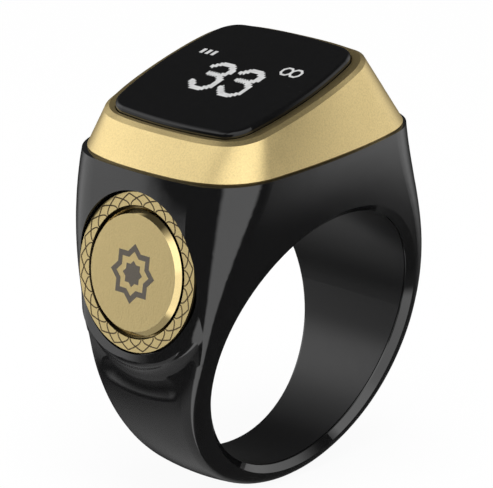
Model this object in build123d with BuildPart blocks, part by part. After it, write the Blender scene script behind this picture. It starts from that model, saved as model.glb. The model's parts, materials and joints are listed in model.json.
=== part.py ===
from build123d import *
import os
from math import atan, cos, pi, radians, sin, sqrt, tan

os.makedirs("parts", exist_ok=True)

# Sizes in millimetres. The finger hole runs along Y, the screen looks up along Z, the button is on the -X side.

# Finger hole and its liner
bore_radius = 10.0
liner_wall = 0.5
liner_play = 0.02
lip_relief = 0.05
mouth_chamfer = 0.5
mouth_land = 0.12
liner_end_gap = 0.05

# Signet body: half depths along Y, measured at the middle of the front face
depth_bottom = 3.07
depth_axis = 6.2
depth_top = 9.3
crown_taper = 0.32
crown_height = 10.5
top_height = 14.75
face_bow_bottom = 0.1
face_bow_axis = 0.5
face_bow_top = 1.2
bow_reach = 10.0
loft_top = 16.25
block_steps = 8
block_growth = 1.6
shank_steps = 14
depth_steps = 6

# Signet body: outline as seen along the finger, from the hole's centre
shank_radius = 11.69
left_axis = 12.52
left_top = 11.93
right_axis = 12.25
right_button = 11.11
right_top = 9.29
button_height = 6.77

# Signet body: rounding of the corners and bow of the sides
corner_top = 4.6
corner_button = 2.6
corner_axis = 1.4
corner_bottom = 1.38
side_bow_top = 1.28
side_bow_button = 0.12
side_bow_axis = 0.4
side_bow_bottom = 0.26

# Parting plane between the shell and the bezel
base_center_x = -1.38
base_z = 14.65
base_slope = 0.069
base_half_x = 10.475
base_setback = 0.182
base_corner = 4.6
base_bow_x = 1.28
base_bow_y = 0.96
base_edge = 0.15

# Rim of the bezel and the sloping screen
rim_center_x = -2.54
rim_z = 18.67
rim_slope = 0.303
rim_half_x = 7.57
rim_half_y = 8.05
rim_corner = 2.9
rim_bow_x = 0.61
rim_bow_y = 0.91
rim_edge = 0.24

# Screen glass and what it sits on
glass_shift = -0.11
glass_half_x = 6.95
glass_half_y = 7.1
glass_corner = 2.06
glass_bow_x = 0.48
glass_bow_y = 0.91
glass_thickness = 1.1
glass_proud = 0.49
glass_edge = 0.34
glass_play = 0.06
gasket_thickness = 0.1
ledge_width = 0.5
ledge_thickness = 0.74

# Electronics bay in the shell
bay_center_x = -1.25
bay_half_x = 7.3
bay_half_y = 6.8
bay_corner = 2.0
bay_floor_wall = 1.0
board_ledge = 0.6
tongue_wall = 0.6
tongue_height = 0.7
tongue_play = 0.06

# Battery, its tape and the board
tape_thickness = 0.45
tape_width = 1.8
battery_x = 12.6
battery_y = 12.8
battery_thickness = 2.4
battery_edge = 0.7
tab_width = 1.5
tab_thickness = 0.15
tab_spacing = 8.6
board_height = 14.75
board_thickness = 0.6
board_left = -6.5
board_right = 5.6
board_side_play = 0.42

# Screen panel
panel_x = 8.0
panel_y = 11.9
panel_thickness = 1.0
panel_cover_x = 6.6
panel_cover_thickness = 0.5
flex_thickness = 0.12
panel_flex_width = 5.0
panel_flex_y = 3.5
panel_flex_reach = 0.45
panel_flex_lap = 1.2

# Small parts on the board
component_edge = 0.08
bluetooth_size = 4.0
bluetooth_height = 0.8
bluetooth_x = -2.0
bluetooth_y = 3.6
charger_size = 2.0
charger_height = 0.6
charger_x = -2.4
charger_y = -1.6
crystal_length = 2.0
crystal_width = 1.6
crystal_height = 0.5
crystal_x = -5.0
crystal_y = 4.4
antenna_length = 3.2
antenna_width = 1.6
antenna_height = 1.1
antenna_x = -2.6
antenna_y = -4.6
connector_length = 5.4
connector_width = 2.2
connector_height = 0.6
motor_radius = 3.0
motor_thickness = 1.8
motor_x = 1.9
motor_y = -3.6
motor_edge = 0.2

# Charging contacts
contact_radius = 0.8
contact_spacing = 5.0
contact_play = 0.05
contact_recess = 0.06
contact_head_radius = 1.2
contact_head = 0.31
carrier_x = 3.2
carrier_y = 8.0
carrier_thickness = 0.28
charge_flex_width = 6.4

# Button, its trim ring and the switch behind it
button_wall = 2.466
button_lean = 8.8
button_inset = 0.034
cap_radius = 4.5
cap_proud = 0.34
cap_gap = 0.15
cap_hollow = 0.6
cap_wall = 0.9
flange_radius = 5.2
flange_thickness = 0.4
stem_radius = 1.1
stem_length = 0.4
trim_radius = 5.74
trim_thickness = 0.9
trim_play = 0.06
trim_recess = 0.05
trim_edge = 0.08
pocket_shoulder = 0.39
pocket_depth = 2.2
lip_drop = 0.35
lip_radius = 6.5
lip_round = 0.65
lip_turn = 70.0
flare_radius = 1.2
flare_turn = 40.0
flare_skirt = 0.75
scoop_radius = 4.0
scoop_reach = 9.1
scoop_height = 2.374
scoop_arc = 40.0
scoop_soft = 1.4
boss_drop = 11.0
boss_inset = 0.3
boss_steps = 4
seal_thickness = 0.25
nub_radius = 0.9
contact_gap = 0.02
switch_size = 2.8
switch_play = 0.1
switch_drop = 0.12
switch_thickness = 0.5
switch_roof = 0.08
switch_floor = 0.06
chamber_radius = 1.2
plunger_radius = 0.72
plunger_play = 0.05
plunger_proud = 0.1
plunger_length = 0.26
dome_thickness = 0.05
dome_sag = 0.03
switch_flex_width = 2.2
flex_groove_play = 0.2
flex_run = 9.0

# Values worked out from the sizes above
depth_crown = depth_top - crown_taper
base_half_y = depth_top - base_setback
button_reach = bore_radius + button_wall
left_button = button_reach + button_inset
liner_radius = bore_radius + liner_wall
seat_radius = liner_radius + liner_play
mouth_radius = bore_radius + lip_relief
base_tilt = atan(base_slope)
rim_tilt = atan(rim_slope)
board_top = board_height + board_thickness
bay_floor = seat_radius + bay_floor_wall
battery_bottom = bay_floor + tape_thickness
pocket_radius = trim_radius + trim_play
well_radius = pocket_radius - pocket_shoulder
switch_top = -pocket_depth - switch_drop
switch_bottom = switch_top - switch_thickness
flex_bottom = switch_bottom - flex_thickness
lean = radians(button_lean)

base_plane = Plane(
    origin=(base_center_x, 0, base_z),
    x_dir=(cos(base_tilt), 0, sin(base_tilt)),
    z_dir=(-sin(base_tilt), 0, cos(base_tilt)),
)
rim_plane = Plane(
    origin=(rim_center_x, 0, rim_z),
    x_dir=(cos(rim_tilt), 0, sin(rim_tilt)),
    z_dir=(-sin(rim_tilt), 0, cos(rim_tilt)),
)
button_center = (-button_reach, 0, button_height)
button_out = (-cos(lean), 0, sin(lean))
button_up = (sin(lean), 0, cos(lean))
button_axis = Axis(button_center, button_out)
button_face = Plane(origin=button_center, x_dir=(0, -1, 0), z_dir=button_out)
button_cut = Plane(origin=button_center, x_dir=(0, 1, 0), z_dir=button_up)


def through(value, *stations):
    """A smooth curve through (place, size) stations, read at one place."""
    total = 0
    for place, size in stations:
        share = size
        for other, _ in stations:
            if other != place:
                share *= (value - other) / (place - other)
        total += share
    return total


def half_depth(x, z):
    """Half the body's depth along Y at a point of the front face, which bows outward as an arc."""
    middle = through(
        z,
        (-shank_radius, depth_bottom),
        (0, depth_axis),
        (crown_height, depth_crown),
        (top_height, depth_top),
    )
    bow = max(face_bow_bottom, face_bow_axis + (face_bow_top - face_bow_axis) * z / top_height)
    radius = (bow_reach**2 + bow**2) / (2 * bow)
    return middle - radius + sqrt(radius**2 - (x - base_center_x) ** 2)


def bowed_rectangle(plane, half_x, half_y, bow_x, bow_y, corner):
    """A rectangle with outward bowed sides and round corners, on a plane."""
    x = half_x - bow_x
    y = half_y - bow_y
    with BuildSketch(plane) as outline:
        with BuildLine():
            ThreePointArc((-x, -y), (0, -half_y), (x, -y))
            ThreePointArc((x, -y), (half_x, 0), (x, y))
            ThreePointArc((x, y), (0, half_y), (-x, y))
            ThreePointArc((-x, y), (-half_x, 0), (-x, -y))
        make_face()
        fillet(outline.vertices(), corner)
    return outline.sketch


def level(z, axis, button, top):
    """A size that changes with height, flat at the finger axis so that the shank runs on smoothly."""
    return through(z**2, (0, axis), (button_height**2, button), (top_height**2, top))


def block_section(z, left, inset=0.0):
    """A level section of the body above the finger axis, out to a reach on the button's side, or inside it."""
    right = level(z, right_axis, right_button, right_top)
    corner = level(z, corner_axis, corner_button, corner_top)
    bow = level(z, side_bow_axis, side_bow_button, side_bow_top)
    left_corner = (bow - left, half_depth(bow - left, z) - inset)
    right_corner = (right - bow, half_depth(right - bow, z) - inset)
    middle = (base_center_x, half_depth(base_center_x, z) - inset)
    with BuildSketch(Plane.XY.offset(z)) as section:
        with BuildLine():
            back = ThreePointArc(left_corner, middle, right_corner)
            mirror(back, about=Plane.XZ)
            ThreePointArc(right_corner, (right, 0), (right_corner[0], -right_corner[1]))
            ThreePointArc(left_corner, (-left, 0), (left_corner[0], -left_corner[1]))
        make_face()
        fillet(section.vertices(), corner + inset)
    return section.sketch


def shank_section(angle):
    """A section of the shank in a plane through the finger axis, bowed and rounded outside."""
    out_x = cos(radians(angle))
    out_z = sin(radians(angle))
    share = out_x**2
    axis = left_axis if out_x < 0 else right_axis
    reach = shank_radius + (axis - shank_radius) * share
    corner = corner_bottom + (corner_axis - corner_bottom) * share
    bow = side_bow_bottom + (side_bow_axis - side_bow_bottom) * share
    inner = bore_radius / 2
    edge = reach - bow
    stations = [(u, half_depth(u * out_x, u * out_z)) for u in (inner, (inner + edge) / 2, edge)]
    plane = Plane((0, 0, 0), x_dir=(out_x, 0, out_z), z_dir=(-out_z, 0, out_x))
    with BuildSketch(plane) as section:
        with BuildLine():
            back = ThreePointArc(*stations)
            mirror(back, about=Plane.XZ)
            ThreePointArc(stations[2], (reach, 0), (edge, -stations[2][1]))
            Line((inner, -stations[0][1]), stations[0])
        make_face()
        fillet(section.vertices().sort_by(Axis.X)[-2:], corner)
    return section.sketch


def depth_block(inset):
    """The space between the front and back faces, drawn in by an inset, around the finger hole."""
    reach = shank_radius
    sections = []
    for step in range(depth_steps + 1):
        z = (2 * step / depth_steps - 1) * shank_radius
        ends = half_depth(-reach, z) - inset, half_depth(0, z) - inset, half_depth(reach, z) - inset
        with BuildSketch(Plane.XY.offset(z)) as section:
            with BuildLine():
                front = ThreePointArc((-reach, -ends[0]), (0, -ends[1]), (reach, -ends[2]))
                right = Line(front @ 1, (reach, ends[2]))
                back = ThreePointArc(right @ 1, (0, ends[1]), (-reach, ends[0]))
                Line(back @ 1, front @ 0)
            make_face()
        sections.append(section.sketch)
    with BuildPart() as block:
        loft(sections)
    return block.part


def shifted(plane, along, up):
    """A plane moved in its own x direction and along its normal."""
    return Plane(plane.from_local_coords((along, 0, up)), x_dir=plane.x_dir, z_dir=plane.z_dir)


def ring_profile(*points):
    """A closed profile of (radius, height) points beside the button axis."""
    with BuildSketch(button_cut) as profile:
        with BuildLine():
            Polyline(*points, close=True)
        make_face()
    return profile.sketch


def plate(plane, half_x, half_y, corner, height):
    """A rounded rectangular block raised from a plane."""
    with BuildPart() as block:
        with BuildSketch(plane):
            RectangleRounded(2 * half_x, 2 * half_y, corner)
        extrude(amount=height)
    return block.part


upper_half_x = bay_half_x + board_ledge
upper_half_y = bay_half_y + board_ledge
upper_corner = bay_corner + board_ledge
tongue_half_x = upper_half_x + tongue_wall
tongue_half_y = upper_half_y + tongue_wall
tongue_corner = upper_corner + tongue_wall
tongue_plane = shifted(base_plane, bay_center_x - base_center_x, 0)
bay_plane = Plane((bay_center_x, 0, bay_floor))
ledge_plane = Plane((bay_center_x, 0, board_height))
glass_plane = shifted(rim_plane, glass_shift, 0)
glass_bottom = glass_proud - glass_thickness
ledge_top = glass_bottom - gasket_thickness
ledge_bottom = ledge_top - ledge_thickness
liner_inset = mouth_chamfer + mouth_land
long_way = 4 * depth_top


def glass_outline(height, spread):
    """The outline of the glass at a height above the rim, spread outward or drawn in."""
    return bowed_rectangle(
        glass_plane.offset(height),
        glass_half_x + spread,
        glass_half_y + spread,
        glass_bow_x,
        glass_bow_y,
        glass_corner + spread,
    )


def component(x, y, length_x, length_y, height):
    """A small block soldered on top of the board, with broken top edges."""
    with BuildPart() as block:
        with BuildSketch(Plane((x, y, board_top))):
            Rectangle(length_x, length_y)
        extrude(amount=height)
        chamfer(block.faces().sort_by(Axis.Z)[-1].edges(), component_edge)
    return block


# Space that the liner fills between the two mouths of the hole
with BuildPart() as liner_seat:
    Cylinder(seat_radius, long_way, rotation=(90, 0, 0))
    add(depth_block(liner_inset), mode=Mode.INTERSECT)

# Boss around the button: its side leans with the button and ends below in a rounded lip
lip_axis = Axis(button_face.from_local_coords((0, -lip_drop, 0)), button_out)
lip_cut = Plane(lip_axis.position, x_dir=(0, 1, 0), z_dir=button_up)
with BuildPart() as button_boss:
    with BuildSketch(lip_cut):
        with BuildLine():
            face = Line((0, trim_recess), (lip_radius - lip_round, trim_recess))
            lip = JernArc(face @ 1, face % 1, lip_round, -lip_turn)
            flare = JernArc(lip @ 1, lip % 1, flare_radius, flare_turn)
            skirt = PolarLine(flare @ 1, flare_skirt, direction=flare % 1)
            side = Line(skirt @ 1, ((skirt @ 1).X, -pocket_depth))
            floor = Line(side @ 1, (0, -pocket_depth))
            Line(floor @ 1, face @ 0)
        make_face()
    revolve(axis=lip_axis)
    boss_sections = []
    for step in range(boss_steps + 1):
        drop = (boss_drop + lip_radius) * step / boss_steps - lip_radius
        boss_reach = button_reach + trim_recess + drop * tan(lean)
        boss_sections.append(block_section(button_height - drop, boss_reach, boss_inset))
    loft(boss_sections, mode=Mode.INTERSECT)

# Shallow scoop in the shank below the lip, with ball ends
scoop_ends = []
for side in (-1, 1):
    turn = radians(90 + side * scoop_arc / 2)
    across = lip_cut.x_dir * cos(turn) - lip_cut.z_dir * sin(turn)
    scoop_ends.append(Plane(lip_axis.position, x_dir=across, z_dir=across.cross(Vector(button_out))))
with BuildPart() as lip_scoop:
    with BuildSketch(scoop_ends[0]):
        with Locations((scoop_reach, scoop_height)):
            Circle(scoop_radius)
    revolve(axis=lip_axis, revolution_arc=scoop_arc)
    with Locations(*[end.from_local_coords((scoop_reach, scoop_height, 0)) for end in scoop_ends]):
        Sphere(scoop_radius)

# Shell
with BuildPart() as ring_shell:
    block_sections = []
    for step in range(block_steps + 1):
        z = loft_top * (step / block_steps) ** block_growth
        block_sections.append(block_section(z, level(z, left_axis, left_button, left_top)))
    loft(block_sections)
    loft([shank_section(270 - 90 * cos(pi * step / shank_steps)) for step in range(shank_steps + 1)])
    Cylinder(mouth_radius, long_way, rotation=(90, 0, 0), mode=Mode.SUBTRACT)
    bore_wall = ring_shell.faces().filter_by(GeomType.CYLINDER)
    chamfer(bore_wall.edges().filter_by(GeomType.BSPLINE), mouth_chamfer)
    split(bisect_by=base_plane, keep=Keep.BOTTOM)
    add(lip_scoop.part, mode=Mode.SUBTRACT)
    fillet(ring_shell.edges(Select.NEW).filter_by(GeomType.CIRCLE, reverse=True), scoop_soft)
    add(button_boss.part)
    with BuildSketch(tongue_plane):
        RectangleRounded(2 * tongue_half_x, 2 * tongue_half_y, tongue_corner)
    extrude(amount=tongue_height)
    add(liner_seat.part, mode=Mode.SUBTRACT)
    add(plate(bay_plane, bay_half_x, bay_half_y, bay_corner, top_height), mode=Mode.SUBTRACT)
    add(plate(ledge_plane, upper_half_x, upper_half_y, upper_corner, top_height), mode=Mode.SUBTRACT)
    with BuildSketch(button_face.offset(-trim_thickness)):
        Circle(pocket_radius)
    extrude(amount=2 * trim_thickness, mode=Mode.SUBTRACT)
    with BuildSketch(button_face.offset(-trim_thickness)):
        Circle(well_radius)
    extrude(amount=trim_thickness - pocket_depth, mode=Mode.SUBTRACT)
    with BuildSketch(button_face.offset(-pocket_depth)):
        Rectangle(switch_size + 2 * switch_play, switch_size + 2 * switch_play)
    extrude(amount=flex_bottom + pocket_depth, mode=Mode.SUBTRACT)
    with BuildSketch(button_face.offset(flex_bottom)):
        with Locations((0, flex_run / 2)):
            Rectangle(switch_flex_width + 2 * flex_groove_play, flex_run)
    extrude(amount=flex_thickness + flex_groove_play, mode=Mode.SUBTRACT)
    with BuildSketch(Plane.XY):
        with GridLocations(0, contact_spacing, 1, 2):
            Circle(contact_radius + contact_play)
    extrude(amount=top_height, mode=Mode.SUBTRACT)

# Liner of the finger hole, with two holes for the charging contacts
with BuildPart() as inner_liner:
    Cylinder(liner_radius, long_way, rotation=(90, 0, 0))
    add(depth_block(liner_inset + liner_end_gap), mode=Mode.INTERSECT)
    Cylinder(bore_radius, long_way, rotation=(90, 0, 0), mode=Mode.SUBTRACT)
    with BuildSketch(Plane.XY):
        with GridLocations(0, contact_spacing, 1, 2):
            Circle(contact_radius + contact_play)
    extrude(amount=top_height, mode=Mode.SUBTRACT)

# Bezel: a sloping frame with a seat for the glass and a hollow over the board
with BuildPart() as bezel:
    loft(
        [
            bowed_rectangle(base_plane, base_half_x, base_half_y, base_bow_x, base_bow_y, base_corner),
            bowed_rectangle(rim_plane, rim_half_x, rim_half_y, rim_bow_x, rim_bow_y, rim_corner),
        ],
        ruled=True,
    )
    rim_face = bezel.faces().sort_by(Axis(rim_plane.origin, rim_plane.z_dir))[-1]
    chamfer(rim_face.edges(), rim_edge)
    base_face = bezel.faces().sort_by(Axis(base_plane.origin, base_plane.z_dir))[0]
    chamfer(base_face.edges(), base_edge)
    extrude(glass_outline(ledge_top, glass_play), amount=glass_thickness, mode=Mode.SUBTRACT)
    with BuildSketch(tongue_plane):
        RectangleRounded(
            2 * (tongue_half_x + tongue_play), 2 * (tongue_half_y + tongue_play), tongue_corner + tongue_play
        )
    extrude(amount=tongue_height + tongue_play, mode=Mode.SUBTRACT)
    with BuildSketch(tongue_plane) as hollow_base:
        RectangleRounded(2 * upper_half_x, 2 * upper_half_y, upper_corner)
    loft([hollow_base.sketch, glass_outline(ledge_bottom, -ledge_width)], mode=Mode.SUBTRACT)
    extrude(glass_outline(ledge_bottom, -ledge_width), amount=glass_thickness, mode=Mode.SUBTRACT)

# Screen glass
with BuildPart() as screen_glass:
    extrude(glass_outline(glass_bottom, 0), amount=glass_thickness)
    glass_top = screen_glass.faces().sort_by(Axis(glass_plane.origin, glass_plane.z_dir))[-1]
    fillet(glass_top.edges(), glass_edge)

# Adhesive gasket between the glass and its seat
with BuildPart() as glass_gasket:
    extrude(glass_outline(ledge_top, 0), amount=gasket_thickness)
    extrude(glass_outline(ledge_top, -ledge_width), amount=gasket_thickness, mode=Mode.SUBTRACT)

# Screen panel bonded under the glass: a front plate on a larger back plate
panel_bottom = glass_bottom - panel_thickness
with BuildPart() as screen_panel:
    with BuildSketch(glass_plane.offset(panel_bottom)):
        Rectangle(panel_x, panel_y)
    extrude(amount=panel_thickness - panel_cover_thickness)
    with BuildSketch(glass_plane.offset(panel_bottom)):
        with Locations(((panel_cover_x - panel_x) / 2, 0)):
            Rectangle(panel_cover_x, panel_y)
    extrude(amount=panel_thickness)

# Board with rounded corners, resting on the ledge of the bay
board_half_y = upper_half_y - board_side_play
with BuildPart() as main_board:
    with BuildSketch(Plane(((board_left + board_right) / 2, 0, board_height))):
        RectangleRounded(board_right - board_left, 2 * board_half_y, upper_corner - board_side_play)
    extrude(amount=board_thickness)

# Flat cable from the screen panel, over its end and down to the connector on the board
cable_start = glass_plane.from_local_coords((panel_x / 2 - panel_flex_lap, 0, panel_bottom - flex_thickness / 2))
cable_bend = glass_plane.from_local_coords((panel_x / 2 + panel_flex_reach, 0, panel_bottom - flex_thickness / 2))
connector_top = board_top + connector_height
with BuildPart() as panel_flex:
    with BuildSketch(Plane((0, panel_flex_y, 0), x_dir=(1, 0, 0), z_dir=(0, -1, 0))):
        with BuildLine():
            Polyline(
                (cable_start.X, cable_start.Z),
                (cable_bend.X, cable_bend.Z),
                (cable_bend.X, connector_top + flex_thickness / 2),
                (cable_bend.X + connector_width, connector_top + flex_thickness / 2),
            )
        trace(line_width=flex_thickness)
    extrude(amount=panel_flex_width / 2, both=True)

# Small parts on the board
connector_x = cable_bend.X + connector_width / 2
flex_connector = component(connector_x, panel_flex_y, connector_width, connector_length, connector_height)
bluetooth_chip = component(bluetooth_x, bluetooth_y, bluetooth_size, bluetooth_size, bluetooth_height)
charger_chip = component(charger_x, charger_y, charger_size, charger_size, charger_height)
crystal = component(crystal_x, crystal_y, crystal_width, crystal_length, crystal_height)
chip_antenna = component(antenna_x, antenna_y, antenna_width, antenna_length, antenna_height)

# Coin vibration motor
with BuildPart() as vibration_motor:
    with BuildSketch(Plane((motor_x, motor_y, board_top))):
        Circle(motor_radius)
    extrude(amount=motor_thickness)
    fillet(vibration_motor.faces().sort_by(Axis.Z)[-1].edges(), motor_edge)

# Flat battery on two strips of tape, with two tabs up to the board
with BuildPart() as battery:
    with BuildSketch(Plane((bay_center_x, 0, battery_bottom))):
        RectangleRounded(battery_x, battery_y, battery_edge)
    extrude(amount=battery_thickness)
    fillet(battery.edges().filter_by(Axis.Z, reverse=True), battery_edge / 2)

with BuildPart() as battery_tape:
    with BuildSketch(bay_plane):
        with GridLocations(0, battery_y - tape_width - battery_edge, 1, 2):
            Rectangle(battery_x - 2 * battery_edge, tape_width)
    extrude(amount=tape_thickness)

battery_end = bay_center_x + battery_x / 2
with BuildPart() as battery_tabs:
    with BuildSketch(Plane((battery_end + tab_thickness / 2, 0, board_height))):
        with GridLocations(0, tab_spacing, 1, 2):
            Rectangle(tab_thickness, tab_width)
    extrude(amount=battery_bottom + battery_thickness / 2 - board_height)

# Charging contacts in the roof of the finger hole, their carrier and their flat cable
contact_bottom = bore_radius + contact_recess
contact_top = bay_floor + contact_head
with BuildPart() as charge_contacts:
    with BuildSketch(Plane.XY.offset(contact_bottom)):
        with GridLocations(0, contact_spacing, 1, 2):
            Circle(contact_radius)
    extrude(amount=contact_top - contact_bottom)
    with BuildSketch(bay_plane):
        with Locations((-bay_center_x, 0)):
            with GridLocations(0, contact_spacing, 1, 2):
                Circle(contact_head_radius)
    extrude(amount=contact_head)

with BuildPart() as contact_carrier:
    with BuildSketch(Plane.XY.offset(bay_floor)):
        RectangleRounded(carrier_x, carrier_y, contact_radius)
        with GridLocations(0, contact_spacing, 1, 2):
            Circle(contact_head_radius + contact_play, mode=Mode.SUBTRACT)
    extrude(amount=carrier_thickness)

charge_flex_height = contact_top + flex_thickness / 2
charge_flex_end = battery_end + 2 * tab_thickness + flex_thickness
with BuildPart() as charge_flex:
    with BuildSketch(Plane.XZ):
        with BuildLine():
            Polyline(
                (-carrier_x / 2, charge_flex_height),
                (charge_flex_end, charge_flex_height),
                (charge_flex_end, board_height - flex_thickness / 2),
            )
        trace(line_width=flex_thickness)
    extrude(amount=charge_flex_width / 2, both=True)

# Trim ring around the button
with BuildPart() as trim_ring:
    with BuildSketch(button_face.offset(-trim_thickness)):
        Circle(trim_radius)
        Circle(cap_radius + cap_gap, mode=Mode.SUBTRACT)
    extrude(amount=trim_thickness)
    chamfer(trim_ring.faces().sort_by(Axis((0, 0, 0), button_out))[-1].edges(), trim_edge)

# Button cap: bevelled face, skirt, retaining flange and stem
flange_top = -trim_thickness - contact_gap
flange_bottom = flange_top - flange_thickness
stem_end = flange_bottom - stem_length
cap_profile = ring_profile(
    (0, cap_proud),
    (cap_radius - cap_proud, cap_proud),
    (cap_radius, 0),
    (cap_radius, flange_top),
    (flange_radius, flange_top),
    (flange_radius, flange_bottom),
    (cap_radius - cap_wall, flange_bottom),
    (cap_radius - cap_wall, -cap_hollow),
    (stem_radius, -cap_hollow),
    (stem_radius, stem_end),
    (0, stem_end),
)
with BuildPart() as button_cap:
    revolve(cap_profile, axis=button_axis)

# Silicone seal behind the button, with a nub that the stem presses
seal_top = seal_thickness - pocket_depth
with BuildPart() as button_seal:
    with BuildSketch(button_face.offset(-pocket_depth)):
        Circle(well_radius - contact_gap)
    extrude(amount=seal_thickness)
    with BuildSketch(button_face.offset(seal_top)):
        Circle(nub_radius)
    extrude(amount=stem_end - contact_gap - seal_top)

# Switch: a square can with a chamber, a dome and a plunger
with BuildPart() as switch_body:
    with BuildSketch(button_face.offset(switch_bottom)):
        Rectangle(switch_size, switch_size)
    extrude(amount=switch_thickness)
    with BuildSketch(button_face.offset(switch_bottom + switch_floor)):
        Circle(chamber_radius)
    extrude(amount=switch_thickness - switch_floor - switch_roof, mode=Mode.SUBTRACT)
    with BuildSketch(button_face.offset(switch_top)):
        Circle(plunger_radius + plunger_play)
    extrude(amount=-2 * switch_roof, mode=Mode.SUBTRACT)

plunger_top = switch_top + plunger_proud
plunger_bottom = plunger_top - plunger_length
with BuildPart() as switch_plunger:
    with BuildSketch(button_face.offset(plunger_bottom)):
        Circle(plunger_radius)
    extrude(amount=plunger_length)

dome_foot = switch_bottom + switch_floor
dome_crown = plunger_bottom - contact_gap
dome_reach = chamber_radius - contact_gap
dome_profile = ring_profile(
    (0, dome_crown),
    (dome_reach / 2, dome_crown - dome_sag),
    (dome_reach, dome_foot + dome_thickness),
    (dome_reach, dome_foot),
    (dome_reach - dome_thickness, dome_foot),
    (dome_reach / 2, dome_crown - dome_sag - dome_thickness),
    (0, dome_crown - dome_thickness),
)
with BuildPart() as switch_dome:
    revolve(dome_profile, axis=button_axis)

# Flat cable under the switch, up its groove and in under the board
tail_height = board_height - flex_thickness / 2
foot = button_face.from_local_coords((0, -switch_size / 2, switch_bottom - flex_thickness / 2))
rise = (tail_height - foot.Z) / cos(lean)
bend_x = foot.X + rise * sin(lean)
with BuildPart() as switch_flex:
    with BuildSketch(Plane.XZ):
        with BuildLine():
            Polyline((foot.X, foot.Z), (bend_x, tail_height), (board_left + switch_flex_width, tail_height))
        trace(line_width=flex_thickness)
    extrude(amount=switch_flex_width / 2, both=True)

pieces = {
    "ring_shell": ring_shell,
    "inner_liner": inner_liner,
    "bezel": bezel,
    "screen_glass": screen_glass,
    "glass_gasket": glass_gasket,
    "screen_panel": screen_panel,
    "panel_flex": panel_flex,
    "main_board": main_board,
    "flex_connector": flex_connector,
    "bluetooth_chip": bluetooth_chip,
    "charger_chip": charger_chip,
    "crystal": crystal,
    "chip_antenna": chip_antenna,
    "vibration_motor": vibration_motor,
    "battery": battery,
    "battery_tape": battery_tape,
    "battery_tabs": battery_tabs,
    "charge_contacts": charge_contacts,
    "contact_carrier": contact_carrier,
    "charge_flex": charge_flex,
    "trim_ring": trim_ring,
    "button_seal": button_seal,
    "switch_body": switch_body,
    "switch_dome": switch_dome,
    "switch_flex": switch_flex,
    "button_cap": button_cap,
    "switch_plunger": switch_plunger,
}
for name, piece in pieces.items():
    piece.part.label = name
    export_step(piece.part, f"parts/{name}.step")
    print(name, piece.part.is_valid, round(piece.part.volume, 3), len(piece.solids()))
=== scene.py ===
"""Looks of a finger-ring tally counter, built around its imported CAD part.

The scene is in metres in the CAD frame: the finger hole runs along Y, the screen looks up and the button
is on -X. Sizes below are written in millimetres and turned into metres with MM.
"""

import functools
import json
import math

import bmesh
import bpy
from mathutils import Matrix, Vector


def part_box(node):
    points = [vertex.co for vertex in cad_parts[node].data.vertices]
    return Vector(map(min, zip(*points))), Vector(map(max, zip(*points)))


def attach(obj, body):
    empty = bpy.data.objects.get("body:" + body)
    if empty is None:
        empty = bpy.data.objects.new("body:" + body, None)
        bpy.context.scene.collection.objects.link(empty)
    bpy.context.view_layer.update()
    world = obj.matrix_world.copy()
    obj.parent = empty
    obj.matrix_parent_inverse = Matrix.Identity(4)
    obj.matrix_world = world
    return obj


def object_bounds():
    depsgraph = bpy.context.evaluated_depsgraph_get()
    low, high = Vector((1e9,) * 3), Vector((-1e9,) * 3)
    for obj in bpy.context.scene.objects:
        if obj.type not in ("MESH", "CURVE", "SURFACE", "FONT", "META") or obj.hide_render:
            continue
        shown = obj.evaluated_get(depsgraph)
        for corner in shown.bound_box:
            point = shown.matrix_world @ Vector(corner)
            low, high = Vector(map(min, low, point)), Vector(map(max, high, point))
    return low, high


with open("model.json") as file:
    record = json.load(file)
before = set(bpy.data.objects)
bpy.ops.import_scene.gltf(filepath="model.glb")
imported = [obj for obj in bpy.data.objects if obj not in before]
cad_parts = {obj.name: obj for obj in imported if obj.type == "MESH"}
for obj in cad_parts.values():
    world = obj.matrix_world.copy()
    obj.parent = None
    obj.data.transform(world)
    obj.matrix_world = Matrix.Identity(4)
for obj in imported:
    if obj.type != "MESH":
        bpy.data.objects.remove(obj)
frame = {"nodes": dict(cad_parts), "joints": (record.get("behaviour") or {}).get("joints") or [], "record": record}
cad_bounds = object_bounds()
nodes = frame["nodes"]
button_out = -Vector(frame["joints"][0]["axis"]).normalized()

MM = 0.001

# Camera, in mm and degrees

CAMERA_AZIMUTH = -46.223  # 0 looks along +Y
CAMERA_ELEVATION = 17.601
CAMERA_PLACE = (-161.462, -153.473, 76.668)
CAMERA_LENS = 234.8
CAMERA_SENSOR = 36.0
CAMERA_CLIP = (10.0, 5000.0)

# Lit marks, in mm from the middle of the screen, along the reading direction and up the page

PIXEL = 0.1165  # two thirds of the pitch of the screen's dots
PIXEL_TOOTH = 0.08  # every second column of pixels lights this much further
PIXEL_LIFT = 0.006  # lit marks stand this far over the glass
SCREEN_HALF = (6.0, 4.0)  # pixels are looked for this far from the middle
DIGITS = 2
DIGIT_STROKE = 0.38
DIGIT_STEP = 2.83
DIGIT_LEFT = -2.73
DIGIT_BOTTOM = -2.60
BARS = 3
BAR_SIZE = (0.30, 0.62)
BAR_STEP = 0.55
BAR_LEFT = -5.07
BAR_BOTTOM = 1.86
BAR_SLANT = 0.05
LOOP_SIDES = 8
LOOP_STROKE = 0.2
LOOP_SIZE = (0.55, 0.60)  # half width and half height of each loop
LOOP_CENTRES = (3.50, 4.37)
LOOP_HEIGHT = 2.03
LOOKS_UP = 0.5  # least upward share of the normal of a face that looks up

# Lattice on the trim ring, with radii in mm from the button's axis

ARCHES = 24
ARCH_TIP = 5.57
ARCH_FOOT = 4.73
ARCH_SPRING = 4.98
ARCH_SHOULDER = 5.13
ARCH_SHARE = 0.93  # how much of the pitch one side of an arch spans
ARCH_SHOULDER_SHARE = 0.63
ARCH_STEPS = 24  # straight pieces in one side of an arch
LINE_WIDTH = 0.1
LINE_LIFT = 0.008

# Star on the button, in mm

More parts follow.
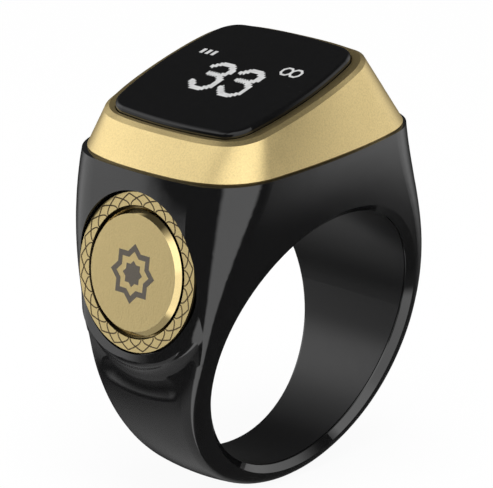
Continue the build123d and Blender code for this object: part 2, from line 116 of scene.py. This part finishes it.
STAR_POINTS = 8
STAR_RADIUS = 2.15
STAR_BAND = 0.74  # inner outline of the star's band, as a share of the outer one
STAR_HEART = 0.44
STAR_LIFT = 0.01

# Finishes

GOLD = (0.95, 0.75, 0.36)
RING_GOLD = (1.0, 0.79, 0.38)
BEVEL_END = (0.95, 0.99)  # cosines of a lean, between which a bevel becomes its flat face
BEVEL_ROUGHNESS = 0.1  # of the button
BEVEL_PAINTED_SHADE = (0.02, 0.015, 0.008)  # painted shade on the trim ring's bevels, which lie in the gaps
NOISE_SPAN = (0.3, 0.7)  # most of a noise lies between these
BROAD_GRAIN = 12  # roughness wanders this much more broadly than colour
GLOW = (0.54, 0.66)  # light of the lit marks, which wanders between these
GLOW_GRAIN = 0.6

# Studio, as glossy surfaces see it

# White panels with dark gaps, like a photographer's black cards, because the photograph's reflections are
# dark there. Heights run from -1 to 1. Turns are in degrees from the camera's side to its right. An edge
# that is a pair gives where the light starts and where it is full.
RISE = (0.1, 0.32)  # what differs low and high changes between these heights
FRONT_STRENGTH = (0.95, 1.25)  # panel behind the camera, low and high
FRONT_LEFT = (-14.0, -46.0)  # turn of its left edge, low and high
FRONT_RIGHT = 50.0  # turn of its right edge
FRONT_RIGHT_LEVEL = 66.0  # low down that edge follows a line instead: its turn at height 0
FRONT_RIGHT_RATE = 68.0  # and how fast it moves with height
FRONT_SOFT = 5.0  # half width of both edges
FRONT_TOP = (0.95, 0.75)
LOW_STRENGTH = 0.72  # panels on both sides, low
SIDE_STRENGTH = 1.04  # and high
SIDE_LEAN = 0.15  # how much stronger the left one is, high
SIDE_SWING = 0.6  # how much nearer the camera the left one begins, high
LEFT_NEAR = (0.18, 0.03)  # near and far edges, as cosines of the turn
RIGHT_NEAR = (0.45, -0.10)
SIDE_FAR = (-0.95, -0.60)
SIDE_BLEND = 0.2  # half width of the change from left to right, as a sine of the turn
SIDE_TOP = (0.85, 0.55)
SIDE_BOTTOM = (-0.50, -0.20)
GROUND_STRENGTH = 0.25  # pale ground
GROUND_EDGE = (-0.50, -0.80)
GROUND_SIDE = (0.5, -0.3)  # it shows on the left, by the sine of the turn
ROOM = 0.05  # dark room all round
LEAST_LEVEL = 0.001  # keeps the turn of a ray straight up or down from dividing by nothing

# Other light, and the floor, in mm and watts

FILL = 0.6  # even light on matt surfaces
KEY_SIZE = 300.0
KEY_PLACE = (-120.0, -100.0, 450.0)
KEY_POWER = 1.8
FLOOR_RADIUS = 600.0
FLOOR_SIDES = 96
FLOOR_COLOUR = 0.85
FLOOR_WHITE = 0.94  # share of plain white that the camera sees on it

WHITE = (1.0, 1.0, 1.0, 1.0)


def add_camera():
    """The photograph's viewpoint."""
    data = bpy.data.cameras.new("camera")
    data.lens = CAMERA_LENS
    data.sensor_width = CAMERA_SENSOR
    data.clip_start, data.clip_end = (distance * MM for distance in CAMERA_CLIP)
    camera = bpy.data.objects.new("camera", data)
    camera.location = Vector(CAMERA_PLACE) * MM
    camera.rotation_euler = (
        math.radians(90 - CAMERA_ELEVATION),
        0.0,
        math.radians(CAMERA_AZIMUTH),
    )
    bpy.context.collection.objects.link(camera)
    bpy.context.scene.camera = camera


# Shader nodes


def add_node(tree, kind, **values):
    """A new shader node with some of its inputs set."""
    node = tree.nodes.new("ShaderNode" + kind)
    for name, value in values.items():
        node.inputs[name.replace("_", " ")].default_value = value
    return node


def feed(tree, socket, value):
    """Links another socket into a socket, or sets it to a plain value."""
    if isinstance(value, bpy.types.NodeSocket):
        tree.links.new(value, socket)
    else:
        socket.default_value = value


def mix_numbers(tree, share, low, high):
    """A number between two, by a share from 0 to 1."""
    node = tree.nodes.new("ShaderNodeMix")
    for socket, value in zip((node.inputs[0], node.inputs[2], node.inputs[3]), (share, low, high)):
        feed(tree, socket, value)
    return node.outputs[0]


def mix_colours(tree, share, low, high):
    """A colour between two, by a share from 0 to 1."""
    node = tree.nodes.new("ShaderNodeMix")
    node.data_type = "RGBA"
    for socket, value in zip((node.inputs[0], node.inputs[6], node.inputs[7]), (share, low, high)):
        feed(tree, socket, value)
    return node.outputs[2]


def map_range(tree, value, **limits):
    """A node that carries a value over to another range. Both run from 0 to 1 unless said otherwise."""
    node = add_node(tree, "MapRange", **limits)
    tree.links.new(value, node.inputs["Value"])
    return node


def noise(tree, size):
    """Grain of about this size in millimetres, from 0 to 1."""
    place = add_node(tree, "TexCoord")
    texture = add_node(tree, "TexNoise", Scale=1 / (size * MM))
    tree.links.new(place.outputs["Object"], texture.inputs["Vector"])
    return texture.outputs["Fac"]


def spread(tree, value, low, high):
    """The middle of a noise stretched to run from low to high."""
    start, end = NOISE_SPAN
    return map_range(tree, value, From_Min=start, From_Max=end, To_Min=low, To_Max=high).outputs[0]


# Materials


def surface(name, colour, roughness, grain, mottle=0.1, bump=0.0, wander=0.2, **sockets):
    """A material whose colour and roughness wander, with grain in relief of bump millimetres."""
    material = bpy.data.materials.new(name)
    material.use_nodes = True
    tree = material.node_tree
    shader = tree.nodes["Principled BSDF"]
    for socket, value in sockets.items():
        shader.inputs[socket.replace("_", " ")].default_value = value
    fine = noise(tree, grain)
    broad = noise(tree, grain * BROAD_GRAIN)
    dark, light = ((*(c * (1 + change) for c in colour), 1.0) for change in (-mottle, mottle))
    tint = mix_colours(tree, spread(tree, fine, 0, 1), dark, light)
    tree.links.new(tint, shader.inputs["Base Color"])
    rough = spread(tree, broad, roughness * (1 - wander), roughness * (1 + wander))
    tree.links.new(rough, shader.inputs["Roughness"])
    if bump:
        relief = add_node(tree, "Bump", Strength=1.0, Distance=bump * MM)
        tree.links.new(fine, relief.inputs["Height"])
        tree.links.new(relief.outputs["Normal"], shader.inputs["Normal"])
    return material


def flat_share(tree, facing):
    """1 on the flat face that looks a given way, 0 on its bevels."""
    normal = add_node(tree, "NewGeometry")
    lean = tree.nodes.new("ShaderNodeVectorMath")
    lean.operation = "DOT_PRODUCT"
    lean.inputs[1].default_value = facing
    tree.links.new(normal.outputs["True Normal"], lean.inputs[0])
    start, end = BEVEL_END
    return map_range(tree, lean.outputs["Value"], From_Min=start, From_Max=end).outputs[0]


def make_button_gold():
    """Grained gold with smooth, polished bevels."""
    material = surface("button_gold", GOLD, 0.3, 0.15, mottle=0.03, bump=0.01, wander=0.05, Metallic=1.0)
    tree = material.node_tree
    shader = tree.nodes["Principled BSDF"]
    satin = shader.inputs["Roughness"].links[0].from_socket
    flat = flat_share(tree, button_out)
    tree.links.new(mix_numbers(tree, flat, BEVEL_ROUGHNESS, satin), shader.inputs["Roughness"])
    tree.links.new(flat, tree.nodes["Bump"].inputs["Strength"])
    return material


def make_ring_gold_with_painted_shade():
    """Satin gold with painted shade on its bevels, which lie in the gaps."""
    finish = {"mottle": 0.03, "bump": 0.0008, "wander": 0.05, "Metallic": 1.0}
    material = surface("ring_gold", RING_GOLD, 0.27, 0.12, **finish)
    tree = material.node_tree
    shader = tree.nodes["Principled BSDF"]
    bright = shader.inputs["Base Color"].links[0].from_socket
    # the bevels take painted shade instead of the gold, darkening them as if in the gap's shadow
    tint = mix_colours(tree, flat_share(tree, button_out), (*BEVEL_PAINTED_SHADE, 1.0), bright)
    tree.links.new(tint, shader.inputs["Base Color"])
    return material


def make_looks():
    """One material for each of the record's slots, by colour, roughness, grain in mm and special values."""
    return {
        "shell": surface("shell", (0.004, 0.004, 0.0042), 0.06, 0.4, IOR=1.8),
        "liner": surface("liner", (0.008, 0.008, 0.0085), 0.3, 0.08, bump=0.0004, wander=0.05, IOR=1.6),
        "gold": surface("gold", GOLD, 0.4, 0.12, mottle=0.08, bump=0.006, wander=0.04, Metallic=1.0),
        "cover_glass": surface("cover_glass", (0.004, 0.004, 0.0042), 0.05, 0.5, IOR=1.45),
        "gasket": surface("gasket", (0.03, 0.03, 0.03), 0.8, 0.1, bump=0.002),
        "panel": surface("panel", (0.02, 0.02, 0.03), 0.08, 0.3),
        "flex": surface("flex", (0.55, 0.28, 0.05), 0.35, 0.3, bump=0.001),
        "board": surface("board", (0.02, 0.10, 0.05), 0.45, 0.2, mottle=0.2, bump=0.002),
        "chip": surface("chip", (0.03, 0.03, 0.035), 0.6, 0.06, bump=0.001),
        "ceramic": surface("ceramic", (0.75, 0.75, 0.72), 0.5, 0.1, bump=0.001),
        "steel": surface("steel", (0.60, 0.60, 0.60), 0.3, 0.1, bump=0.0008, Metallic=1.0),
        "cell": surface("cell", (0.70, 0.70, 0.72), 0.35, 0.5, bump=0.004, Metallic=0.9),
        "tape": surface("tape", (0.80, 0.78, 0.70), 0.9, 0.12, bump=0.01),
        "contact": surface("contact", (0.83, 0.65, 0.30), 0.2, 0.1, bump=0.0005, Metallic=1.0),
        "silicone": surface("silicone", (0.25, 0.25, 0.26), 0.65, 0.1, bump=0.001),
    }


def dress_nodes():
    """Gives each CAD node its slot's material. The button and its ring have golds of their own."""
    looks = make_looks()
    own_looks = {"button_cap": make_button_gold(), "trim_ring": make_ring_gold_with_painted_shade()}
    for part in frame["record"]["subparts"]:
        look = own_looks.get(part["node"], looks[part["material_slot"]])
        for slot in nodes[part["node"]].material_slots:
            slot.material = look


# Building pieces


def add_piece(name, mesh, material, body):
    """A new piece that rides on a body and takes the given material."""
    data = bpy.data.meshes.new(name)
    mesh.to_mesh(data)
    mesh.free()
    data.materials.append(material)
    piece = bpy.data.objects.new(name, data)
    bpy.context.collection.objects.link(piece)
    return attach(piece, body)


def thicken(mesh, depth):
    """Turns flat faces into thin closed plates that reach down by a depth vector."""
    made = bmesh.ops.extrude_face_region(mesh, geom=list(mesh.faces), use_keep_orig=True)
    moved = [item for item in made["geom"] if isinstance(item, bmesh.types.BMVert)]
    bmesh.ops.translate(mesh, verts=moved, vec=depth)
    bmesh.ops.recalc_face_normals(mesh, faces=list(mesh.faces))
    return mesh


def band(mesh, outer, inner):
    """Faces between two closed outlines with as many points each."""
    for step in range(len(outer)):
        mesh.faces.new((outer[step - 1], outer[step], inner[step], inner[step - 1]))


@functools.cache
def flat_face(node, way):
    """Middle of a node's outermost flat face in a direction."""
    up = Vector(way)
    low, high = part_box(node)
    middle = (low + high) / 2
    height = max(vertex.co.dot(up) for vertex in nodes[node].data.vertices)
    return middle + up * (height - middle.dot(up))


# Screen


@functools.cache
def screen_axes():
    """Middle of the glass, its reading direction, the way up the page, and outward."""
    rising = [face for face in nodes["screen_glass"].data.polygons if face.normal.z > LOOKS_UP]
    outward = max(rising, key=lambda face: face.area).normal.copy()
    reading = Vector((0, -1, 0))
    page_up = outward.cross(reading)
    return flat_face("screen_glass", tuple(outward)), reading, page_up, outward


def on_screen(across, up):
    """A point just over the glass, in mm from the middle of the screen."""
    origin, reading, page_up, outward = screen_axes()
    return origin + (reading * across + page_up * up + outward * PIXEL_LIFT) * MM


def onto_glass(mesh):
    """Marks that stand over the glass, thickened down to it."""
    outward = screen_axes()[3]
    return thicken(mesh, -outward * PIXEL_LIFT * MM)


def near_stroke(x, y, strokes, reach):
    """Whether a point lies within reach of any of the straight strokes."""
    for line in strokes:
        for (ax, ay), (bx, by) in zip(line, line[1:]):
            run = (bx - ax) ** 2 + (by - ay) ** 2
            share = ((x - ax) * (bx - ax) + (y - ay) * (by - ay)) / run
            share = min(1, max(0, share))
            if math.hypot(x - ax - share * (bx - ax), y - ay - share * (by - ay)) < reach:
                return True
    return False


def lit_pixels(strokes, width):
    """Pixels of the screen's grid that strokes of this width light."""
    mesh = bmesh.new()
    columns, rows = (math.ceil(half / PIXEL) for half in SCREEN_HALF)

    @functools.cache
    def corner(column, row):
        return mesh.verts.new(on_screen(column * PIXEL, row * PIXEL))

    for column in range(-columns, columns):
        reach = width / 2 + PIXEL_TOOTH * (column % 2)
        for row in range(-rows, rows):
            if near_stroke((column + 0.5) * PIXEL, (row + 0.5) * PIXEL, strokes, reach):
                square = ((0, 0), (1, 0), (1, 1), (0, 1))
                mesh.faces.new([corner(column + i, row + j) for i, j in square])
    return onto_glass(mesh)


def digit_three(left, bottom):
    """Strokes of a 3 with clipped corners, from its lower left."""
    upper = ((0.28, 3.25), (0.85, 3.78), (1.62, 3.78), (2.18, 3.28), (2.18, 2.80), (1.78, 2.35))
    middle = ((0.72, 2.32), (1.70, 2.32), (2.27, 1.75))
    lower = ((2.27, 0.85), (1.72, 0.28), (0.92, 0.28), (0.26, 1.0))
    return [[(left + x, bottom + y) for x, y in line] for line in (upper, middle + lower)]


def eight_sided_loops():
    """Two loops of eight sides next to each other."""
    mesh = bmesh.new()
    turns = [math.tau * (step + 0.5) / LOOP_SIDES for step in range(LOOP_SIDES)]
    for centre in LOOP_CENTRES:
        outlines = []
        for inset in (0, LOOP_STROKE):
            wide, tall = LOOP_SIZE[0] - inset, LOOP_SIZE[1] - inset
            flat = [(centre + wide * math.cos(turn), LOOP_HEIGHT + tall * math.sin(turn)) for turn in turns]
            outlines.append([mesh.verts.new(on_screen(*spot)) for spot in flat])
        band(mesh, *outlines)
    return onto_glass(mesh)


def slanted_bars():
    """Short bars side by side, leaning a little along the reading direction."""
    mesh = bmesh.new()
    width, height = BAR_SIZE
    corners = ((0, 0), (width, 0), (width + BAR_SLANT, height), (BAR_SLANT, height))
    for place in range(BARS):
        left = BAR_LEFT + BAR_STEP * place
        mesh.faces.new([mesh.verts.new(on_screen(left + i, BAR_BOTTOM + j)) for i, j in corners])
    return onto_glass(mesh)


def add_screen():
    """The lit marks: two digits, an endless-count mark and three battery bars."""
    glow = surface("lit_pixels", (0.02, 0.02, 0.02), 0.4, 0.3, Emission_Color=WHITE)
    tree = glow.node_tree
    level = spread(tree, noise(tree, GLOW_GRAIN), *GLOW)
    tree.links.new(level, tree.nodes["Principled BSDF"].inputs["Emission Strength"])

    strokes = []
    for place in range(DIGITS):
        strokes += digit_three(DIGIT_LEFT + DIGIT_STEP * place, DIGIT_BOTTOM)
    add_piece("count_digits", lit_pixels(strokes, DIGIT_STROKE), glow, "ring")
    add_piece("endless_mark", eight_sided_loops(), glow, "ring")
    add_piece("battery_bars", slanted_bars(), glow, "ring")


# Button


def on_button(node, radius, turn, lift):
    """A point over a node's flat outer face, by radius in mm and turn in radians from straight up."""
    side = Vector((0, -1, 0))
    up = side.cross(button_out)
    arm = up * math.cos(turn) + side * math.sin(turn)
    return flat_face(node, tuple(button_out)) + (arm * radius + button_out * lift) * MM


def bezier(points, share):
    """A point of a cubic curve, by share of its way."""
    rest = 1 - share
    weights = (rest**3, 3 * rest**2 * share, 3 * rest * share**2, share**3)
    return tuple(sum(w * p[k] for w, p in zip(weights, points)) for k in (0, 1))


def add_lattice(material):
    """Engraved lines of the ring round the button: pointed arches that cross their neighbours."""
    pitch = math.tau / ARCHES
    side = (
        (ARCH_SHARE * pitch, ARCH_FOOT),
        (ARCH_SHARE * pitch, ARCH_SPRING),
        (ARCH_SHOULDER_SHARE * pitch, ARCH_SHOULDER),
        (0.0, ARCH_TIP),
    )
    line = [bezier(side, step / ARCH_STEPS) for step in range(ARCH_STEPS + 1)]
    mesh = bmesh.new()
    for arch in range(ARCHES):
        for hand in (-1, 1):
            points = [on_button("trim_ring", r, arch * pitch + hand * t, LINE_LIFT) for t, r in line]
            edges = []
            for index, point in enumerate(points):
                before = points[max(index - 1, 0)]
                after = points[min(index + 1, ARCH_STEPS)]
                across = (after - before).cross(button_out).normalized() * (LINE_WIDTH / 2 * MM)
                edges.append((mesh.verts.new(point - across), mesh.verts.new(point + across)))
            for (a, b), (c, d) in zip(edges, edges[1:]):
                mesh.faces.new((a, b, d, c))
    thicken(mesh, -button_out * LINE_LIFT * MM)
    add_piece("trim_lattice", mesh, material, "ring")


def add_star(material):
    """A plain eight-pointed star on the button, a traditional figure of two crossed squares."""
    valley = math.cos(math.tau / STAR_POINTS) / math.cos(math.tau / STAR_POINTS / 2)
    mesh = bmesh.new()

    def outline(share):
        ring = []
        for step in range(2 * STAR_POINTS):
            radius = STAR_RADIUS * share * (1 if step % 2 == 0 else valley)
            spot = on_button("button_cap", radius, math.pi * step / STAR_POINTS, STAR_LIFT)
            ring.append(mesh.verts.new(spot))
        return ring

    outer, inner, heart = outline(1), outline(STAR_BAND), outline(STAR_HEART)
    band(mesh, outer, inner)
    mesh.faces.new(heart)
    thicken(mesh, -button_out * STAR_LIFT * MM)
    add_piece("button_star", mesh, material, "button")


def add_button_marks():
    """Everything that is cut or etched into the button and its ring."""
    etched = surface("etched_lines", (0.10, 0.07, 0.03), 0.55, 0.05, mottle=0.2, Metallic=0.3)
    add_lattice(etched)
    burnt = surface("etched_star", (0.115, 0.10, 0.08), 0.5, 0.08, mottle=0.12, bump=0.001, Metallic=0.2)
    add_star(burnt)


# Light and floor


def calculate(tree, operation, *values):
    """One arithmetic node. Values are numbers or sockets."""
    node = tree.nodes.new("ShaderNodeMath")
    node.operation = operation
    for socket, value in zip(node.inputs, values):
        feed(tree, socket, value)
    return node.outputs[0]


def times(tree, *values):
    """Product of numbers or sockets."""
    return functools.reduce(lambda a, b: calculate(tree, "MULTIPLY", a, b), values)


def plus(tree, *values):
    """Sum of numbers or sockets."""
    return functools.reduce(lambda a, b: calculate(tree, "ADD", a, b), values)


def soft_step(tree, value, low, high):
    """A soft step from 0 at low to 1 at high."""
    node = map_range(tree, value, From_Min=low, From_Max=high)
    node.interpolation_type = "SMOOTHSTEP"
    return node.outputs[0]


def look_directions(tree):
    """Where a ray looks: cosine and sine of its turn from the camera's side, and its height."""
    place = add_node(tree, "TexCoord")
    split = add_node(tree, "SeparateXYZ")
    tree.links.new(place.outputs["Generated"], split.inputs[0])
    x, y, height = split.outputs
    sine, cosine = math.sin(math.radians(CAMERA_AZIMUTH)), math.cos(math.radians(CAMERA_AZIMUTH))
    flat = calculate(tree, "SQRT", plus(tree, times(tree, x, x), times(tree, y, y)))
    level = calculate(tree, "MAXIMUM", flat, LEAST_LEVEL)
    towards = plus(tree, times(tree, x, sine), times(tree, y, -cosine))
    across = plus(tree, times(tree, x, cosine), times(tree, y, sine))
    return calculate(tree, "DIVIDE", towards, level), calculate(tree, "DIVIDE", across, level), height


def front_panel(tree, facing, right, height, high):
    """The panel behind the camera, wider and stronger high up."""
    turn = calculate(tree, "DEGREES", calculate(tree, "ARCTAN2", right, facing))
    left_edge = mix_numbers(tree, high, *FRONT_LEFT)
    line = plus(tree, times(tree, height, FRONT_RIGHT_RATE), FRONT_RIGHT_LEVEL)
    right_edge = calculate(tree, "MINIMUM", line, FRONT_RIGHT)
    past_left = soft_step(tree, calculate(tree, "SUBTRACT", turn, left_edge), -FRONT_SOFT, FRONT_SOFT)
    before_right = soft_step(tree, calculate(tree, "SUBTRACT", right_edge, turn), -FRONT_SOFT, FRONT_SOFT)
    below = soft_step(tree, height, *FRONT_TOP)
    return times(tree, past_left, before_right, below, mix_numbers(tree, high, *FRONT_STRENGTH))


def side_panels(tree, facing, right, height, high):
    """The panels on both sides, stronger high up."""
    swing = times(tree, calculate(tree, "MINIMUM", right, 0.0), high, SIDE_SWING)
    swung = plus(tree, facing, swing)
    on_right = soft_step(tree, right, -SIDE_BLEND, SIDE_BLEND)
    near_left = soft_step(tree, swung, *LEFT_NEAR)
    near = mix_numbers(tree, on_right, near_left, soft_step(tree, swung, *RIGHT_NEAR))
    far = soft_step(tree, facing, *SIDE_FAR)
    below = soft_step(tree, height, *SIDE_TOP)
    above = soft_step(tree, height, *SIDE_BOTTOM)
    high_strength = plus(tree, times(tree, right, -SIDE_LEAN), SIDE_STRENGTH)
    return times(tree, near, far, below, above, mix_numbers(tree, high, LOW_STRENGTH, high_strength))


def studio_light(tree):
    """Brightness of the studio by direction: three panels, pale ground, dark room."""
    facing, right, height = look_directions(tree)
    high = soft_step(tree, height, *RISE)
    front = front_panel(tree, facing, right, height, high)
    sides = side_panels(tree, facing, right, height, high)
    low_down = soft_step(tree, height, *GROUND_EDGE)
    ground = times(tree, low_down, soft_step(tree, right, *GROUND_SIDE), GROUND_STRENGTH)
    return plus(tree, calculate(tree, "MAXIMUM", front, sides), ground, ROOM)


def add_world():
    """White to the eye and through glass, the studio to glossy surfaces, even light to matt ones."""
    world = bpy.data.worlds.new("studio")
    bpy.context.scene.world = world
    world.use_nodes = True
    tree = world.node_tree
    tree.nodes.clear()
    path = add_node(tree, "LightPath")
    lit = mix_numbers(tree, path.outputs["Is Glossy Ray"], FILL, studio_light(tree))
    seen = calculate(tree, "MAXIMUM", path.outputs["Is Camera Ray"], path.outputs["Is Transmission Ray"])
    background = add_node(tree, "Background", Color=WHITE)
    tree.links.new(mix_numbers(tree, seen, lit, 1.0), background.inputs["Strength"])
    output = add_node(tree, "OutputWorld")
    tree.links.new(background.outputs[0], output.inputs["Surface"])


def floor_material():
    """Matt and pale to the light, nearly plain white to the eye, so that a faint shadow is left."""
    material = bpy.data.materials.new("floor")
    material.use_nodes = True
    tree = material.node_tree
    tree.nodes.clear()
    path = add_node(tree, "LightPath")
    white = add_node(tree, "Emission", Color=WHITE)
    matt = add_node(tree, "BsdfDiffuse", Color=(FLOOR_COLOUR, FLOOR_COLOUR, FLOOR_COLOUR, 1.0))
    mix = tree.nodes.new("ShaderNodeMixShader")
    share = times(tree, path.outputs["Is Camera Ray"], FLOOR_WHITE)
    for socket, value in zip(mix.inputs, (share, matt.outputs[0], white.outputs[0])):
        tree.links.new(value, socket)
    output = add_node(tree, "OutputMaterial")
    tree.links.new(mix.outputs[0], output.inputs["Surface"])
    return material


def add_floor():
    """A round floor under the part."""
    mesh = bmesh.new()
    bmesh.ops.create_circle(mesh, cap_ends=True, radius=FLOOR_RADIUS * MM, segments=FLOOR_SIDES)
    data = bpy.data.meshes.new("floor")
    mesh.to_mesh(data)
    mesh.free()
    data.materials.append(floor_material())
    floor = bpy.data.objects.new("floor", data)
    floor.location.z = cad_bounds[0].z
    floor.visible_glossy = False
    bpy.context.collection.objects.link(floor)


def add_key():
    """A soft lamp overhead, for the shadow on the floor."""
    data = bpy.data.lights.new("key", "AREA")
    data.size = KEY_SIZE * MM
    data.energy = KEY_POWER
    key = bpy.data.objects.new("key", data)
    key.location = Vector(KEY_PLACE) * MM
    key.rotation_euler = (-Vector(KEY_PLACE)).to_track_quat("-Z", "Y").to_euler()
    key.visible_glossy = False
    key.visible_camera = False
    bpy.context.collection.objects.link(key)


add_camera()
dress_nodes()
add_screen()
add_button_marks()
add_world()
add_floor()
add_key()
bpy.context.scene.view_settings.view_transform = "Standard"
